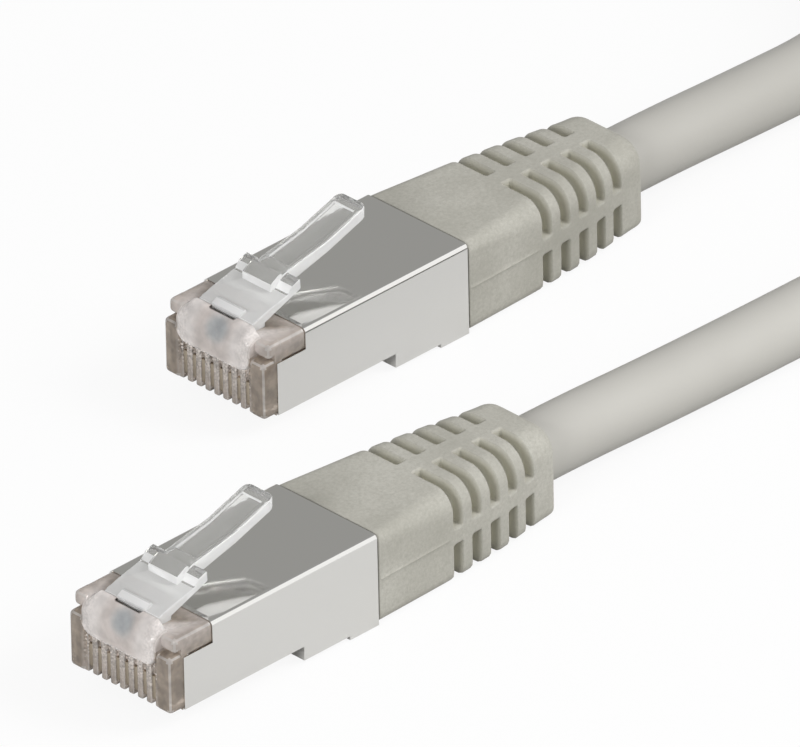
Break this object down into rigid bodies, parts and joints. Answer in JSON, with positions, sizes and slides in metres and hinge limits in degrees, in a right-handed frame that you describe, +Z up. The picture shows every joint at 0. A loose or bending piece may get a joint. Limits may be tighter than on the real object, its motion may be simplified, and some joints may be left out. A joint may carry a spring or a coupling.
{
  "type": "ethernet patch cable",
  "caption": "Shielded grey patch cable with two clear-nosed eight-contact plugs, sprung latches, ribbed strain-relief boots and a round cable tied in a hank.",
  "frame": {"origin": "centre of the box around the two plugs and boots, on the plane they rest on", "axes": "+X runs from the plugs' noses towards the boots and the hank, +Z is up, the latches' side; plug a is on the +Y side and plug b on the -Y side"},
  "size_m": [0.2039, 0.0596, 0.016],
  "materials": {
    "clear_polycarbonate": "gloss",
    "nickel_plated_shield": "satin",
    "gold_plated_contact": "gloss",
    "grey_pvc_boot": "matte",
    "grey_pvc_jacket": "satin",
    "copper_strands": "satin",
    "tinned_drain_wire": "satin",
    "aluminium_foil": "gloss",
    "black_pvc_tie": "satin",
    "wire_white_orange": "satin",
    "wire_orange": "satin",
    "wire_white_green": "satin",
    "wire_blue": "satin",
    "wire_white_blue": "satin",
    "wire_green": "satin",
    "wire_white_brown": "satin",
    "wire_brown": "satin"
  },
  "bodies": {
    "root": {"plug_housing_a": "clear_polycarbonate", "shield_a": "nickel_plated_shield", "boot_a": "grey_pvc_boot", "contact_a1": "gold_plated_contact", "contact_a2": "gold_plated_contact", "contact_a3": "gold_plated_contact", "contact_a4": "gold_plated_contact", "contact_a5": "gold_plated_contact", "contact_a6": "gold_plated_contact", "contact_a7": "gold_plated_contact", "contact_a8": "gold_plated_contact", "wire_a1": "wire_white_orange", "wire_a2": "wire_orange", "wire_a3": "wire_white_green", "wire_a4": "wire_blue", "wire_a5": "wire_white_blue", "wire_a6": "wire_green", "wire_a7": "wire_white_brown", "wire_a8": "wire_brown", "copper_cores_a": "copper_strands", "cable_jacket_end_a": "grey_pvc_jacket", "foil_screen_a": "aluminium_foil", "drain_wire_a": "tinned_drain_wire", "cable_lead_a": "grey_pvc_jacket", "plug_housing_b": "clear_polycarbonate", "shield_b": "nickel_plated_shield", "boot_b": "grey_pvc_boot", "contact_b1": "gold_plated_contact", "contact_b2": "gold_plated_contact", "contact_b3": "gold_plated_contact", "contact_b4": "gold_plated_contact", "contact_b5": "gold_plated_contact", "contact_b6": "gold_plated_contact", "contact_b7": "gold_plated_contact", "contact_b8": "gold_plated_contact", "wire_b1": "wire_white_orange", "wire_b2": "wire_orange", "wire_b3": "wire_white_green", "wire_b4": "wire_blue", "wire_b5": "wire_white_blue", "wire_b6": "wire_green", "wire_b7": "wire_white_brown", "wire_b8": "wire_brown", "copper_cores_b": "copper_strands", "cable_jacket_end_b": "grey_pvc_jacket", "foil_screen_b": "aluminium_foil", "drain_wire_b": "tinned_drain_wire", "cable_lead_b": "grey_pvc_jacket", "cable_hank": "grey_pvc_jacket", "twist_tie_a": "black_pvc_tie", "twist_tie_b": "black_pvc_tie"},
    "latch_a": {"latch_a": "clear_polycarbonate"},
    "latch_b": {"latch_b": "clear_polycarbonate"}
  },
  "joints": [
    {"name": "latch_a_press", "type": "hinge", "parent": "root", "child": "latch_a", "pos_m": [-0.00185, 0.01345, 0.0085], "axis": [0, 1, 0], "range_deg": [0, 14], "stiffness_Nm_per_rad": 0.08},
    {"name": "latch_b_press", "type": "hinge", "parent": "root", "child": "latch_b", "pos_m": [-0.03855, -0.01345, 0.0085], "axis": [0, 1, 0], "range_deg": [0, 14], "stiffness_Nm_per_rad": 0.08}
  ]
}
